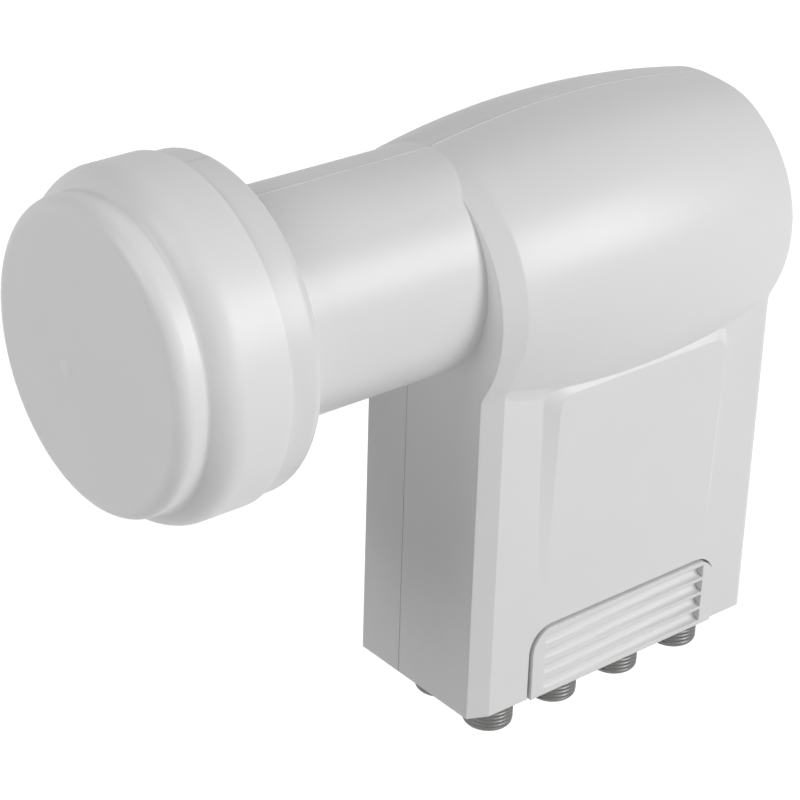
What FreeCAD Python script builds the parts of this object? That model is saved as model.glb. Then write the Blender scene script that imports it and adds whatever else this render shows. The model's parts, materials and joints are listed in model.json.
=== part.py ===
import FreeCAD, Part
import math
import os
import Sketcher

# Satellite dish feed unit: a stepped feed cap, a round neck that the dish arm's clamp holds,
# a keyhole-shaped housing in two moulded shells, a sliding weather cover and eight F ports.
# Frame: the origin is the middle of the clamped neck, on its axis. The horn mouth faces -Y,
# +Z is up, the ports point down, and +X is the side with the wider half of the housing.

SIZES = {
    # neck and its front flange
    "neck_radius": 20.0,
    "neck_length": 40.5,
    "neck_overlap": 5.0,
    "flange_radius": 29.0,
    "flange_depth": 7.0,
    "flange_rounding": 2.2,
    # feed cap
    "cap_depth": 18.8,
    "cap_front_radius": 26.5,
    "cap_front_rounding": 2.6,
    "cap_step_place": 13.3,
    "cap_overhang": 0.8,
    "cap_drum_rounding": 5.0,
    "cap_wall": 1.8,
    "cap_clearance": 0.6,
    "cap_root_rounding": 0.8,
    "cap_seam": 0.25,
    # hood over the waveguide
    "hood_drop": 5.0,
    "hood_face_radius": 24.1,
    "hood_shoulder_radius": 25.1,
    "hood_tail_radius": 24.4,
    "hood_arch_radius": 180.0,
    # lower box of the housing
    "box_right": 21.3,
    "box_left": 12.5,
    "box_drop": 84.1,
    "body_depth": 69.15,
    "bevel_inset": 1.85,
    "bevel_depth": 3.85,
    "rear_rounding": 2.0,
    "right_crease_rounding": 4.0,
    "left_crease_rounding": 2.0,
    "shell_wall": 1.6,
    "shell_gap": 0.1,
    # raised plateau on each side wall
    "plateau_rise": 1.3,
    "plateau_sink": 0.15,
    "plateau_foot_sink": 0.03,
    "plateau_front_margin": 12.55,
    "plateau_rear_margin": 11.5,
    "plateau_top": 19.5,
    "plateau_height": 43.0,
    "plateau_front_slope": 3.5,
    "plateau_rear_slope": 1.2,
    "plateau_top_slope": 2.6,
    "plateau_corner": 3.0,
    # ribbed grips of the weather cover, and its sleeve
    "grip_front_margin": 13.45,
    "grip_rear_margin": 9.6,
    "grip_height": 14.2,
    "grip_corner": 4.6,
    "grip_proud": 0.6,
    "grip_gap": 0.4,
    "groove_count": 4,
    "groove_pitch": 3.25,
    "groove_radius": 1.3,
    "groove_rear_depth": 1.6,
    "groove_front_depth": 0.4,
    "groove_margin": 3.0,
    "sleeve_wall": 1.0,
    "sleeve_height": 34.0,
    "sleeve_corner": 2.5,
    "sleeve_gap": 0.3,
    "cover_travel": 22.0,
    "stop_width": 3.0,
    "stop_height": 3.0,
    "stop_rise": 3.0,
    "stop_inset": 1.0,
    "stop_reach": 1.4,
    "stop_gap": 0.3,
    # ports
    "port_row_gap": 14.0,
    "port_front_margin": 12.5,
    "port_rear_margin": 8.65,
    "ports_per_row": 4,
    "port_thread_radius": 4.76,
    "port_reach": 12.6,
    "port_tip_bevel": 0.5,
    "port_collar_radius": 5.2,
    "port_collar_depth": 1.0,
    "port_boss_radius": 3.6,
    "port_boss_rise": 1.1,
    "port_face_recess": 0.4,
    "port_bore_radius": 2.6,
    "port_socket_radius": 0.9,
    "port_socket_depth": 6.0,
    "contact_radius": 0.5,
    "contact_rise": 4.0,
    # die-cast horn and chassis
    "waveguide_radius": 8.75,
    "waveguide_reach": 27.75,
    "tube_radius": 13.0,
    "neck_ring_width": 3.0,
    "horn_reach": 14.2,
    "horn_mouth_radius": 16.5,
    "horn_lip": 2.0,
    "horn_cone_length": 26.0,
    "horn_flange_depth": 8.0,
    "corrugation_width": 2.0,
    "corrugation_clearance": 1.2,
    "corrugation_height": 2.4,
    "corrugation_depth": 3.5,
    "chassis_width": 26.8,
    "chassis_top": 9.0,
    "chassis_recess": 3.0,
    "chassis_floor": 3.0,
    "chassis_side": 2.4,
    "partition_top": 45.0,
    "partition_depth": 5.0,
    "cavity_top": 3.5,
    "lid_thickness": 1.6,
    "lid_margin": 1.0,
    "rear_lid_rise": 7.0,
    "waveguide_end_wall": 3.0,
    "gasket_thickness": 0.6,
    "chassis_clearance": 0.55,
    # boards and what they carry
    "board_thickness": 0.8,
    "board_gap": 0.3,
    "chip_height": 1.1,
    "switch_chip_width": 7.0,
    "regulator_width": 6.0,
    "transistor_width": 2.0,
    "crystal_length": 8.0,
    "crystal_width": 3.6,
    "crystal_height": 2.5,
    "probe_radius": 0.6,
    "probe_reach": 5.6,
    "probe_spacing": 9.0,
    "first_probe_reach": 11.75,
    "probe_bend": 1.5,
    "probe_sleeve_radius": 1.5,
    "probe_sleeve_length": 1.5,
    "isolation_radius": 0.8,
    # seals, screws and running clearances
    "seal_radius": 0.9,
    "seal_place": 5.0,
    "fit_gap": 0.05,
    "screw_radius": 1.2,
    "screw_head_radius": 2.0,
    "screw_head_depth": 1.2,
    "screw_length": 6.0,
    "board_screw_radius": 0.9,
    "board_screw_head_radius": 1.8,
    "board_screw_length": 4.0,
    "locator_radius": 2.4,
    "locator_pin_radius": 1.2,
    "locator_pin_length": 4.0,
    "locator_gap": 0.1,
    "locator_height": 16.4,
    "locator_inset": 14.0,
    "locator_reach": 10.0,
}


class Size:
    """A value with the expression that works it out from the sheet's named sizes."""

    def __init__(self, value, text):
        self.value = value
        self.text = text

    def __add__(self, other):
        return combine(self, "+", other, self.value + number(other))

    def __sub__(self, other):
        return combine(self, "-", other, self.value - number(other))

    def __mul__(self, other):
        return combine(self, "*", other, self.value * number(other))

    def __truediv__(self, other):
        return combine(self, "/", other, self.value / number(other))

    def __neg__(self):
        return Size(-self.value, f"-({self.text})")


def number(size):
    return size.value if isinstance(size, Size) else float(size)


def combine(left, sign, right, value):
    right_text = right.text if isinstance(right, Size) else repr(right)
    return Size(value, f"({left.text} {sign} {right_text})")


def root(size):
    return Size(math.sqrt(size.value), f"sqrt({size.text})")


NOTHING = Size(0.0, "0.0")


def lean_angle(rise, run):
    """The angle of a slope that rises by this much over this length."""
    slope = rise / run
    return Size(math.degrees(math.asin(slope.value)), f"asin({slope.text})")


doc = FreeCAD.newDocument("satellite_lnb")
sheet = doc.addObject("Spreadsheet::Sheet", "Sizes")


def write_sheet():
    for row, (name, value) in enumerate(SIZES.items(), start=1):
        sheet.set(f"A{row}", name)
        sheet.set(f"B{row}", repr(value))
        sheet.setAlias(f"B{row}", name)
    doc.recompute()


def size(name):
    return Size(float(sheet.get(name)), f"Sizes.{name}")


def bind(thing, prop, value):
    """Ties one property of a feature to the sheet, or sets a plain number."""
    if isinstance(value, Size):
        thing.setExpression(prop, value.text)
    elif prop.startswith("Placement.") or prop.startswith("AttachmentOffset."):
        thing.setExpression(prop, repr(value))
    else:
        setattr(thing, prop, value)


# Sketches. Every corner of an outline is tied to the sheet by its two distances from the
# sketch's own origin, and every arc by its radius.

def new_body(label):
    body = doc.addObject("PartDesign::Body", label)
    body.Label = label
    return body


def new_sketch(body, plane, name, shift=None, turn=None):
    """A sketch on one of the body's own planes: shift moves it by (across, up, off the plane)."""
    sketch = body.newObject("Sketcher::SketchObject", name)
    sketch.AttachmentSupport = [(origin_part(body, plane + "_Plane"), "")]
    sketch.MapMode = "FlatFace"
    if turn is not None:
        axis, angle = turn
        sketch.AttachmentOffset = FreeCAD.Placement(FreeCAD.Vector(), FreeCAD.Rotation(axis, number(angle)))
        bind(sketch, "AttachmentOffset.Rotation.Angle", angle)
    if shift is not None:
        for letter, distance in zip("xyz", shift):
            bind(sketch, f"AttachmentOffset.Base.{letter}", distance)
    return sketch


def pin_point(sketch, geometry, end, across, up):
    for kind, distance in (("DistanceX", across), ("DistanceY", up)):
        place = sketch.addConstraint(Sketcher.Constraint(kind, -1, 1, geometry, end, number(distance)))
        if isinstance(distance, Size):
            sketch.setExpression(f"Constraints[{place}]", distance.text)


def arc_geometry(start, end, radius, centre_side):
    """An arc from start to end whose centre lies on the named side of the way, and its end codes."""
    chord = end - start
    half = chord.Length / 2
    rise = math.sqrt(max(radius * radius - half * half, 0.0))
    left = FreeCAD.Vector(-chord.y, chord.x, 0).normalize()
    offset = rise if centre_side == "left" else -rise
    centre = (start + end) * 0.5 + left * offset
    first, last = (start, end) if centre_side == "left" else (end, start)
    angles = [math.atan2(point.y - centre.y, point.x - centre.x) for point in (first, last)]
    circle = Part.Circle(centre, FreeCAD.Vector(0, 0, 1), radius)
    return Part.ArcOfCircle(circle, angles[0], angles[1])


def outline(sketch, corners):
    """A closed outline. A corner is (across, up), or (across, up, radius, side) where an arc
    with its centre on that side leads on to the next corner."""
    points = [FreeCAD.Vector(number(corner[0]), number(corner[1]), 0) for corner in corners]
    starts = []
    for index, corner in enumerate(corners):
        start = points[index]
        end = points[(index + 1) % len(points)]
        if len(corner) == 2:
            geometry = sketch.addGeometry(Part.LineSegment(start, end))
            starts.append((geometry, 1, 2))
            continue
        arc = arc_geometry(start, end, number(corner[2]), corner[3])
        geometry = sketch.addGeometry(arc)
        starts.append((geometry, 1, 2) if corner[3] == "left" else (geometry, 2, 1))
        place = sketch.addConstraint(Sketcher.Constraint("Radius", geometry, number(corner[2])))
        if isinstance(corner[2], Size):
            sketch.setExpression(f"Constraints[{place}]", corner[2].text)
    for index, corner in enumerate(corners):
        geometry, first, _ = starts[index]
        before, _, last = starts[index - 1]
        sketch.addConstraint(Sketcher.Constraint("Coincident", before, last, geometry, first))
        pin_point(sketch, geometry, first, corner[0], corner[1])


def rectangle(sketch, low, high):
    outline(sketch, [(low[0], low[1]), (high[0], low[1]), (high[0], high[1]), (low[0], high[1])])


def rounded_rectangle(sketch, low, high, radius):
    left, bottom = low
    right, top = high
    outline(sketch, [
        (left + radius, bottom), (right - radius, bottom, radius, "left"),
        (right, bottom + radius), (right, top - radius, radius, "left"),
        (right - radius, top), (left + radius, top, radius, "left"),
        (left, top - radius), (left, bottom + radius, radius, "left"),
    ])


def circle(sketch, across, up, radius):
    centre = FreeCAD.Vector(number(across), number(up), 0)
    geometry = sketch.addGeometry(Part.Circle(centre, FreeCAD.Vector(0, 0, 1), number(radius)))
    pin_point(sketch, geometry, 3, across, up)
    place = sketch.addConstraint(Sketcher.Constraint("Radius", geometry, number(radius)))
    if isinstance(radius, Size):
        sketch.setExpression(f"Constraints[{place}]", radius.text)


# Features.

def pad(body, sketch, name, length, backwards=False):
    feature = body.newObject("PartDesign::Pad", name)
    feature.Profile = sketch
    feature.Reversed = backwards
    bind(feature, "Length", length)
    doc.recompute()
    return feature


def pocket(body, sketch, name, length, backwards=False):
    before = body.Shape.Volume
    feature = body.newObject("PartDesign::Pocket", name)
    feature.Profile = sketch
    feature.Reversed = backwards
    bind(feature, "Length", length)
    doc.recompute()
    must_cut(body, name, before)
    return feature


def revolve(body, sketch, name, cut=False):
    """Turns the sketch about its own across axis, as added or as removed material."""
    before = body.Shape.Volume if cut else 0.0
    kind = "PartDesign::Groove" if cut else "PartDesign::Revolution"
    feature = body.newObject(kind, name)
    feature.Profile = sketch
    feature.ReferenceAxis = (sketch, ["H_Axis"])
    feature.Angle = 360
    doc.recompute()
    if cut:
        must_cut(body, name, before)
    return feature


def must_cut(body, name, before):
    if body.Shape.Volume > before - 0.001:
        raise RuntimeError(f"{body.Label}: {name} cuts nothing")


def round_edges(body, name, radius, wanted):
    """Rounds the edges of the body's last feature that the test picks out."""
    base = body.Tip
    names = [f"Edge{place}" for place, edge in enumerate(base.Shape.Edges, start=1) if wanted(edge)]
    if not names:
        raise RuntimeError(f"{body.Label}: {name} finds no edge")
    feature = body.newObject("PartDesign::Fillet", name)
    feature.Base = (base, names)
    bind(feature, "Radius", radius)
    doc.recompute()
    return feature


def near(value, target, room=0.01):
    return abs(value - number(target)) < room


def origin_part(body, role):
    return [item for item in body.Origin.OriginFeatures if item.Role == role][0]


def place_body(body, across=0.0, along=0.0, up=0.0):
    for letter, distance in zip("xyz", (across, along, up)):
        bind(body, f"Placement.Base.{letter}", distance)


write_sheet()

# Places that several pieces share, worked out from the sheet.
NECK_RADIUS = size("neck_radius")
FACE = size("neck_length") / 2
FLANGE_BACK = -FACE
SEAM = FLANGE_BACK - size("flange_depth")
BACK = FACE + size("body_depth")
BOTTOM = -size("box_drop")
WALL = size("shell_wall")
HOOD_Z = -size("hood_drop")
BOX_RIGHT = size("box_right")
BOX_LEFT = -size("box_left")
BOX_MIDDLE = (BOX_RIGHT + BOX_LEFT) / 2
NECK_BORE = NECK_RADIUS - WALL
INNER_RIGHT = BOX_RIGHT - WALL
INNER_LEFT = BOX_LEFT + WALL
INNER_FRONT = FACE + WALL
INNER_BACK = BACK - WALL
NECK_END = FACE + size("neck_overlap")
CAP_RADIUS = size("flange_radius") + size("cap_overhang")
SLEEVE_RIGHT = INNER_RIGHT - size("sleeve_gap")
SLEEVE_LEFT = INNER_LEFT + size("sleeve_gap")
SLEEVE_FRONT = INNER_FRONT + size("sleeve_gap")
SLEEVE_BACK = INNER_BACK - size("sleeve_gap")
GRIP_FRONT = FACE + size("grip_front_margin")
GRIP_BACK = BACK - size("grip_rear_margin")
GRIP_TOP = BOTTOM + size("grip_height")
CHASSIS_RIGHT = BOX_MIDDLE + size("chassis_width") / 2
CHASSIS_LEFT = BOX_MIDDLE - size("chassis_width") / 2
CHASSIS_FRONT = SLEEVE_FRONT + size("sleeve_wall") + size("chassis_clearance")
CHASSIS_BACK = SLEEVE_BACK - size("sleeve_wall") - size("chassis_clearance")
CHASSIS_BOTTOM = BOTTOM + size("chassis_recess")
CHASSIS_TOP = size("chassis_top")
CAVITY_FRONT = CHASSIS_FRONT + size("chassis_side")
CAVITY_BACK = CHASSIS_BACK - size("chassis_side")
CAVITY_BOTTOM = CHASSIS_BOTTOM + size("chassis_floor")
CAVITY_TOP = size("cavity_top")
PARTITION_TOP = -size("partition_top")
PARTITION_BOTTOM = PARTITION_TOP - size("partition_depth")
NEAR_ROW = BOX_MIDDLE + size("port_row_gap") / 2
FAR_ROW = BOX_MIDDLE - size("port_row_gap") / 2
CONTACT_EDGE = size("contact_radius") + size("fit_gap")
NEAR_FLOOR = NEAR_ROW - CONTACT_EDGE - size("board_thickness")
FAR_FLOOR = FAR_ROW + CONTACT_EDGE + size("board_thickness")
LID_SEAT = CHASSIS_RIGHT - size("lid_thickness")
REAR_LID_SEAT = CHASSIS_LEFT + size("lid_thickness")
STOP_FOOT = BOTTOM + size("stop_rise")
STOP_TOP = STOP_FOOT + size("stop_height")
STOP_EDGE = size("stop_inset") + size("stop_width")
REAR_LID_TOP = PARTITION_BOTTOM + size("rear_lid_rise")
GROOVE_SPAN = size("groove_pitch") * (int(SIZES["groove_count"]) - 1)
GROOVE_FOOT = BOTTOM + (size("grip_height") - GROOVE_SPAN) / 2
FIRST_PORT = FACE + size("port_front_margin")
LAST_PORT = BACK - size("port_rear_margin")
PORT_MIDDLE = (FIRST_PORT + LAST_PORT) / 2
PORT_PITCH = (LAST_PORT - FIRST_PORT) / (int(SIZES["ports_per_row"]) - 1)
WAVEGUIDE_END = FACE + size("waveguide_reach")
FIRST_PROBE = FACE + size("first_probe_reach")
SEAL_RADIUS = CAP_RADIUS - size("cap_wall") - size("seal_radius") - size("fit_gap")
SEAL_PLACE = SEAM - size("seal_place")

# Screw and probe places as (along Y, up Z).
SCREW_INSET = size("chassis_side") + size("screw_head_radius") + size("lid_margin")
SCREW_COLUMNS = (CHASSIS_FRONT + SCREW_INSET, CHASSIS_BACK - SCREW_INSET)
UPPER_SCREW = (CHASSIS_TOP + CAVITY_TOP - size("lid_margin")) / 2
MIDDLE_SCREW = (PARTITION_TOP + PARTITION_BOTTOM) / 2
LID_SCREWS = [(along, up) for up in (UPPER_SCREW, MIDDLE_SCREW) for along in SCREW_COLUMNS]
REAR_LID_SCREWS = [(along, PARTITION_BOTTOM + size("rear_lid_rise") / 2) for along in SCREW_COLUMNS]
BOARD_INSET = size("board_screw_head_radius") * 2
RF_SCREWS = [
    (CAVITY_FRONT + BOARD_INSET, PARTITION_TOP + BOARD_INSET),
    (CAVITY_BACK - BOARD_INSET, CAVITY_TOP - BOARD_INSET),
]
BOARD_SCREWS = [
    (CAVITY_FRONT + BOARD_INSET, PARTITION_BOTTOM - BOARD_INSET),
    (CAVITY_BACK - BOARD_INSET, PARTITION_BOTTOM - BOARD_INSET),
]
PROBES = [(FIRST_PROBE + size("probe_spacing") * count, NOTHING) for count in range(2)]


# Housing shells.

def hood_outline(sketch, inset, front, back):
    """Half section of the hood about its own axis: a bevelled shoulder, then a long shallow arch."""
    shoulder = size("hood_shoulder_radius") - inset
    tail = size("hood_tail_radius") - inset
    arch = size("hood_arch_radius") - inset
    outline(sketch, [
        (front, 0.0), (front, size("hood_face_radius") - inset),
        (FACE + size("bevel_depth"), shoulder, arch, "right"), (back, tail), (back, 0.0),
    ])


def box_plan(sketch):
    """Plan of the lower box, with its front bevels."""
    inset = size("bevel_inset")
    depth = size("bevel_depth")
    outline(sketch, [
        (BOX_LEFT + inset, FACE), (BOX_RIGHT - inset, FACE), (BOX_RIGHT, FACE + depth),
        (BOX_RIGHT, BACK), (BOX_LEFT, BACK), (BOX_LEFT, FACE + depth),
    ])


def is_crease(edge, side):
    """The hollow line where the hood meets the box, along one side's bevel and wall."""
    middle = edge.valueAt((edge.FirstParameter + edge.LastParameter) / 2)
    wall = number(BOX_RIGHT) if side > 0 else -number(BOX_LEFT)
    at_wall = middle.x * side > wall - 2
    between_ends = number(FACE) + 0.1 < middle.y < number(BACK) - 0.1
    lowest = number(HOOD_Z - size("hood_shoulder_radius")) - 3
    return at_wall and between_ends and lowest < middle.z < number(HOOD_Z) - 1


def is_rear_edge(edge):
    """The outline of the rear face, but for its foot, where the box is open and its rim is flat."""
    middle = edge.valueAt((edge.FirstParameter + edge.LastParameter) / 2)
    in_rear_face = near(middle.y, BACK) and all(near(vertex.Y, BACK) for vertex in edge.Vertexes)
    return in_rear_face and not near(middle.z, BOTTOM)


def add_neck(body, label):
    section = new_sketch(body, "YZ", label + "_neck_section")
    rounding = size("flange_rounding")
    radius = size("flange_radius")
    outline(section, [
        (SEAM, 0.0), (SEAM, radius), (FLANGE_BACK - rounding, radius, rounding, "right"),
        (FLANGE_BACK, radius - rounding), (FLANGE_BACK, NECK_RADIUS),
        (NECK_END, NECK_RADIUS), (NECK_END, 0.0),
    ])
    revolve(body, section, label + "_neck")


def hollow_out(body, label):
    room = new_sketch(body, "XY", label + "_box_room", shift=(0.0, 0.0, HOOD_Z))
    rectangle(room, (INNER_LEFT, INNER_FRONT), (INNER_RIGHT, INNER_BACK))
    pocket(body, room, label + "_box_hollow", HOOD_Z - BOTTOM + 1.0)
    hood = new_sketch(body, "YZ", label + "_hood_room", shift=(0.0, HOOD_Z, 0.0))
    hood_outline(hood, WALL, INNER_FRONT, INNER_BACK)
    revolve(body, hood, label + "_hood_hollow", cut=True)
    bore = new_sketch(body, "YZ", label + "_bore_section")
    rectangle(bore, (SEAM - 1.0, 0.0), (INNER_FRONT, NECK_BORE))
    revolve(body, bore, label + "_neck_bore", cut=True)


def add_plateau(body, label, side):
    """A shallow raised field on the side wall: proud under the hood, flush near the grips."""
    wall = BOX_RIGHT if side > 0 else BOX_LEFT
    top = -size("plateau_top")
    foot = top - size("plateau_height")
    front = FACE + size("plateau_front_margin")
    back = BACK - size("plateau_rear_margin")
    corner = size("plateau_corner")
    sunk = size("plateau_foot_sink")
    base = new_sketch(body, "YZ", label + "_plateau_foot", (0.0, 0.0, wall - size("plateau_sink") * side))
    rounded_rectangle(base, (front, foot), (back, top), corner)
    lean = lean_angle(size("plateau_rise") + sunk, size("plateau_height"))
    turn = (FreeCAD.Vector(1, 0, 0), lean if side > 0 else -lean)
    face = new_sketch(body, "YZ", label + "_plateau_face", (0.0, foot, wall - sunk * side), turn)
    length = size("plateau_height") - size("plateau_top_slope")
    rounded_rectangle(
        face,
        (front + size("plateau_front_slope"), NOTHING),
        (back - size("plateau_rear_slope"), length),
        corner,
    )
    loft = body.newObject("PartDesign::AdditiveLoft", label + "_plateau")
    loft.Profile = base
    loft.Sections = [face]
    loft.Ruled = True
    doc.recompute()


def grip_outline(sketch, room, foot):
    """The grip's U form, grown by some room on its three closed sides."""
    corner = size("grip_corner") + room
    front = GRIP_FRONT - room
    back = GRIP_BACK + room
    top = GRIP_TOP + room
    outline(sketch, [
        (front, foot), (back, foot), (back, top - corner, corner, "left"),
        (back - corner, top), (front + corner, top, corner, "left"), (front, top - corner),
    ])


def cut_grip_window(body, label, side):
    wall = BOX_RIGHT + 1.0 if side > 0 else BOX_LEFT - 1.0
    window = new_sketch(body, "YZ", label + "_window", shift=(0.0, 0.0, wall))
    grip_outline(window, size("grip_gap"), BOTTOM - 1.0)
    pocket(body, window, label + "_grip_window", WALL + 2.0, backwards=side < 0)


def cut_in_half(body, label, side):
    gap = size("shell_gap") / 2 * side
    half = new_sketch(body, "YZ", label + "_parting", shift=(0.0, 0.0, gap))
    reach = size("flange_radius") + size("box_drop")
    rectangle(half, (SEAM - 5.0, -reach), (BACK + 5.0, reach))
    pocket(body, half, label + "_half_cut", reach, backwards=side < 0)


def add_locators(body, label, side):
    """Two bosses under the hood's crown: the left half has the pins, the right half the sockets."""
    near_end = size("shell_gap") / 2 * side
    reach = size("locator_reach")
    bosses = new_sketch(body, "YZ", label + "_boss_places", shift=(0.0, 0.0, near_end))
    pins = new_sketch(body, "YZ", label + "_pin_places", shift=(0.0, 0.0, near_end))
    pin_radius = size("locator_pin_radius") + (size("locator_gap") if side > 0 else 0.0)
    for along in (INNER_FRONT + size("locator_inset"), INNER_BACK - size("locator_inset")):
        circle(bosses, along, size("locator_height"), size("locator_radius"))
        circle(pins, along, size("locator_height"), pin_radius)
    pad(body, bosses, label + "_bosses", reach, backwards=side < 0)
    if side > 0:
        depth = size("locator_pin_length") + size("locator_gap")
        pocket(body, pins, label + "_sockets", depth, backwards=True)
    else:
        pad(body, pins, label + "_pins", size("locator_pin_length"))


def add_cover_stops(body, label, side):
    """Pegs on the front and rear walls that run in the weather cover's slot and end its travel."""
    edges = (size("stop_inset") * side, STOP_EDGE * side)
    left, right = edges if side > 0 else edges[::-1]
    for name, wall, from_front in (("_front_stop", INNER_FRONT, True), ("_rear_stop", INNER_BACK, False)):
        peg = new_sketch(body, "XZ", label + name + "_outline", shift=(0.0, 0.0, -wall))
        rectangle(peg, (left, STOP_FOOT), (right, STOP_TOP))
        pad(body, peg, label + name, size("stop_reach"), backwards=from_front)


def build_shell(label, side):
    """One moulded half of the housing: side is 1 for the +X half and -1 for the -X half."""
    body = new_body(label)
    plan = new_sketch(body, "XY", label + "_plan", shift=(0.0, 0.0, HOOD_Z))
    box_plan(plan)
    pad(body, plan, label + "_box", HOOD_Z - BOTTOM, backwards=True)
    hood = new_sketch(body, "YZ", label + "_hood_section", shift=(0.0, HOOD_Z, 0.0))
    hood_outline(hood, 0.0, FACE, BACK)
    revolve(body, hood, label + "_hood")
    right_rounding = size("right_crease_rounding")
    round_edges(body, label + "_right_crease", right_rounding, lambda edge: is_crease(edge, 1))
    left_rounding = size("left_crease_rounding")
    round_edges(body, label + "_left_crease", left_rounding, lambda edge: is_crease(edge, -1))
    round_edges(body, label + "_rear_edge", size("rear_rounding"), is_rear_edge)
    add_plateau(body, label, side)
    add_neck(body, label)
    hollow_out(body, label)
    cut_grip_window(body, label, side)
    cut_in_half(body, label, side)
    add_locators(body, label, side)
    add_cover_stops(body, label, side)
    return body


# Feed cap and its seal.

def build_feed_cap():
    body = new_body("feed_cap")
    wall = size("cap_wall")
    front = SEAM - size("cap_depth")
    step = SEAM - size("cap_step_place")
    rim = SEAM - size("cap_seam")
    small = size("cap_front_radius")
    large = CAP_RADIUS
    soft = size("cap_front_rounding")
    shoulder = size("cap_drum_rounding")
    rise = large - small
    run = root(shoulder * shoulder - (shoulder - rise) * (shoulder - rise))
    section = new_sketch(body, "YZ", "feed_cap_section")
    outline(section, [
        (front, 0.0), (front, small - soft, soft, "right"), (front + soft, small),
        (step, small, shoulder, "right"), (step + run, large), (rim, large),
        (rim, large - wall), (step + run, large - wall), (step + run, small - wall),
        (front + wall, small - wall), (front + wall, 0.0),
    ])
    revolve(body, section, "feed_cap_form")
    round_edges(body, "feed_cap_root", size("cap_root_rounding"), is_cap_root)
    return body


def is_cap_root(edge):
    """The hollow ring where the cap's front stage meets its drum, and the one inside."""
    middle = edge.valueAt((edge.FirstParameter + edge.LastParameter) / 2)
    radius = math.hypot(middle.x, middle.z)
    outside = near(middle.y, SEAM - size("cap_step_place")) and near(radius, size("cap_front_radius"))
    return outside and edge.Closed


def build_cap_seal():
    ring = doc.addObject("Part::Torus", "cap_seal")
    ring.Label = "cap_seal"
    bind(ring, "Radius1", SEAL_RADIUS)
    bind(ring, "Radius2", size("seal_radius"))
    ring.Placement = FreeCAD.Placement(FreeCAD.Vector(), FreeCAD.Rotation(FreeCAD.Vector(1, 0, 0), 90))
    bind(ring, "Placement.Base.y", SEAL_PLACE)
    doc.recompute()
    return ring


# Weather cover.

def add_grip(body, label, side):
    start = SLEEVE_RIGHT - size("sleeve_wall") / 2 if side > 0 else SLEEVE_LEFT + size("sleeve_wall") / 2
    wall = BOX_RIGHT if side > 0 else BOX_LEFT
    panel = new_sketch(body, "YZ", label + "_outline", shift=(0.0, 0.0, start))
    grip_outline(panel, 0.0, BOTTOM)
    depth = wall + size("grip_proud") - start if side > 0 else start - wall + size("grip_proud")
    pad(body, panel, label, depth, backwards=side < 0)


def cut_grooves(body, label, side):
    """Finger grooves: round channels that lie aslant, shallow in front and deep behind."""
    face = BOX_RIGHT + size("grip_proud") if side > 0 else BOX_LEFT - size("grip_proud")
    margin = size("groove_margin")
    run = GRIP_BACK - GRIP_FRONT - margin - margin
    radius = size("groove_radius")
    lift = radius - size("groove_rear_depth")
    slant = lean_angle(size("groove_rear_depth") - size("groove_front_depth"), run)
    before = body.Shape.Volume
    channel = body.newObject("PartDesign::SubtractiveCylinder", label + "_channel")
    bind(channel, "Radius", radius)
    bind(channel, "Height", run)
    turn = slant if side > 0 else -slant
    upright = FreeCAD.Rotation(FreeCAD.Vector(1, 0, 0), 90)
    tilt = FreeCAD.Rotation(FreeCAD.Vector(0, 0, 1), number(turn))
    channel.Placement = FreeCAD.Placement(FreeCAD.Vector(), tilt * upright)
    place_body(channel, face + lift if side > 0 else face - lift, GRIP_BACK - margin, GROOVE_FOOT)
    doc.recompute()
    must_cut(body, label + "_channel", before)
    pattern = body.newObject("PartDesign::LinearPattern", label + "_pattern")
    pattern.Originals = [channel]
    pattern.Direction = (origin_part(body, "Z_Axis"), [""])
    bind(pattern, "Length", GROOVE_SPAN)
    pattern.Occurrences = int(SIZES["groove_count"])
    body.Tip = pattern
    doc.recompute()


def cut_stop_slot(body):
    """A slot through the sleeve's front and rear walls, as long as the cover's travel and the pegs."""
    gap = size("stop_gap")
    slot = new_sketch(body, "XZ", "stop_slot_outline", shift=(0.0, 0.0, size("stop_gap") - SLEEVE_FRONT))
    low = (-(STOP_EDGE + gap), STOP_FOOT - gap)
    high = (STOP_EDGE + gap, STOP_TOP + size("cover_travel") + gap)
    rectangle(slot, low, high)
    pocket(body, slot, "stop_slot", SLEEVE_BACK - SLEEVE_FRONT + gap + gap)


def build_weather_cover():
    body = new_body("weather_cover")
    wall = size("sleeve_wall")
    corner = size("sleeve_corner")
    plan = new_sketch(body, "XY", "sleeve_plan", shift=(0.0, 0.0, BOTTOM))
    rounded_rectangle(plan, (SLEEVE_LEFT, SLEEVE_FRONT), (SLEEVE_RIGHT, SLEEVE_BACK), corner)
    rounded_rectangle(
        plan,
        (SLEEVE_LEFT + wall, SLEEVE_FRONT + wall),
        (SLEEVE_RIGHT - wall, SLEEVE_BACK - wall),
        corner - wall,
    )
    pad(body, plan, "sleeve", size("sleeve_height"))
    cut_stop_slot(body)
    for label, side in (("right_grip", 1), ("left_grip", -1)):
        add_grip(body, label, side)
        cut_grooves(body, label + "_groove", side)
    return body


# Die-cast horn and chassis.

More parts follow.
